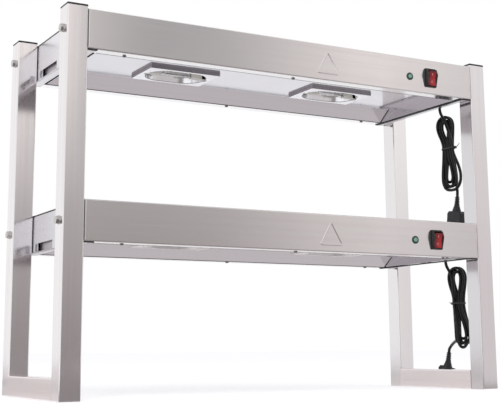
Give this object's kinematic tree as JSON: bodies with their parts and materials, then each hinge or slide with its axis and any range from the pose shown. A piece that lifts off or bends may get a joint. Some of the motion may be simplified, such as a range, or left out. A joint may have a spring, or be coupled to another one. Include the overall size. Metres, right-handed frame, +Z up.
{
  "type": "heated gantry",
  "caption": "Free-standing steel gantry with stacked lamp-heated shelves, rocker switches, pilot lights and tied mains cords.",
  "frame": {"origin": "on the floor, in the middle of the box round the stand without its cords", "axes": "+X to the right along the shelves as seen from the switches, +Y to the back, +Z up"},
  "size_m": [1.0179, 0.336, 0.704],
  "materials": {
    "side_frame_steel": "brushed along each tube",
    "cap_plastic": "moulded",
    "bolt_steel": "bright turned",
    "shelf_steel": "brushed along the shelf",
    "end_steel": "bright sheet",
    "tray_steel": "polished sheet",
    "screw_steel": "bright",
    "lamp_steel": "bright sheet",
    "reflector_aluminium": "polished and lightly dimpled",
    "lamp_glass": "clear with a frosted sleeve",
    "holder_ceramic": "ceramic, unglazed",
    "switch_plastic": "moulded",
    "rocker_plastic": "translucent moulding",
    "pilot_plastic": "moulded",
    "pilot_lens": "translucent moulding",
    "block_plastic": "moulded",
    "bush_plastic": "moulded",
    "cord_rubber": "smooth sheath",
    "tie_plastic": "moulded",
    "plug_rubber": "moulded",
    "pin_brass": "bright"
  },
  "bodies": {
    "stand": {"left_front_leg": "side_frame_steel", "left_rear_leg": "side_frame_steel", "left_bottom_rail": "side_frame_steel", "right_front_leg": "side_frame_steel", "right_rear_leg": "side_frame_steel", "right_bottom_rail": "side_frame_steel", "leg_end_caps": "cap_plastic", "shelf_bolts": "bolt_steel", "shelf_nuts": "bolt_steel", "upper_shelf_shell": "shelf_steel", "upper_left_end_plate": "end_steel", "upper_right_end_plate": "end_steel", "upper_reflector_tray": "tray_steel", "upper_tray_screws": "screw_steel", "upper_left_lamp_housing": "lamp_steel", "upper_left_lamp_reflector": "reflector_aluminium", "upper_left_lamp_tube": "lamp_glass", "upper_left_lamp_holders": "holder_ceramic", "upper_right_lamp_housing": "lamp_steel", "upper_right_lamp_reflector": "reflector_aluminium", "upper_right_lamp_tube": "lamp_glass", "upper_right_lamp_holders": "holder_ceramic", "upper_switch_housing": "switch_plastic", "upper_pilot_bezel": "pilot_plastic", "upper_pilot_lens": "pilot_lens", "upper_connector_block": "block_plastic", "upper_cord_bush": "bush_plastic", "upper_cord_lead": "cord_rubber", "upper_cord_hank": "cord_rubber", "upper_cord_tail": "cord_rubber", "upper_cord_tie": "tie_plastic", "upper_plug_body": "plug_rubber", "upper_plug_pins": "pin_brass", "lower_shelf_shell": "shelf_steel", "lower_left_end_plate": "end_steel", "lower_right_end_plate": "end_steel", "lower_reflector_tray": "tray_steel", "lower_tray_screws": "screw_steel", "lower_left_lamp_housing": "lamp_steel", "lower_left_lamp_reflector": "reflector_aluminium", "lower_left_lamp_tube": "lamp_glass", "lower_left_lamp_holders": "holder_ceramic", "lower_right_lamp_housing": "lamp_steel", "lower_right_lamp_reflector": "reflector_aluminium", "lower_right_lamp_tube": "lamp_glass", "lower_right_lamp_holders": "holder_ceramic", "lower_switch_housing": "switch_plastic", "lower_pilot_bezel": "pilot_plastic", "lower_pilot_lens": "pilot_lens", "lower_connector_block": "block_plastic", "lower_cord_bush": "bush_plastic", "lower_cord_lead": "cord_rubber", "lower_cord_hank": "cord_rubber", "lower_cord_tail": "cord_rubber", "lower_cord_tie": "tie_plastic", "lower_plug_body": "plug_rubber", "lower_plug_pins": "pin_brass"},
    "upper_rocker": {"upper_switch_rocker": "rocker_plastic"},
    "lower_rocker": {"lower_switch_rocker": "rocker_plastic"}
  },
  "joints": [
    {"name": "upper_rocker_tilt", "type": "hinge", "parent": "stand", "child": "upper_rocker", "pos_m": [0.3335, -0.1538, 0.657], "axis": [1, 0, 0], "range_deg": [-20, 0]},
    {"name": "lower_rocker_tilt", "type": "hinge", "parent": "stand", "child": "lower_rocker", "pos_m": [0.3335, -0.1538, 0.309], "axis": [1, 0, 0], "range_deg": [-20, 0]}
  ]
}
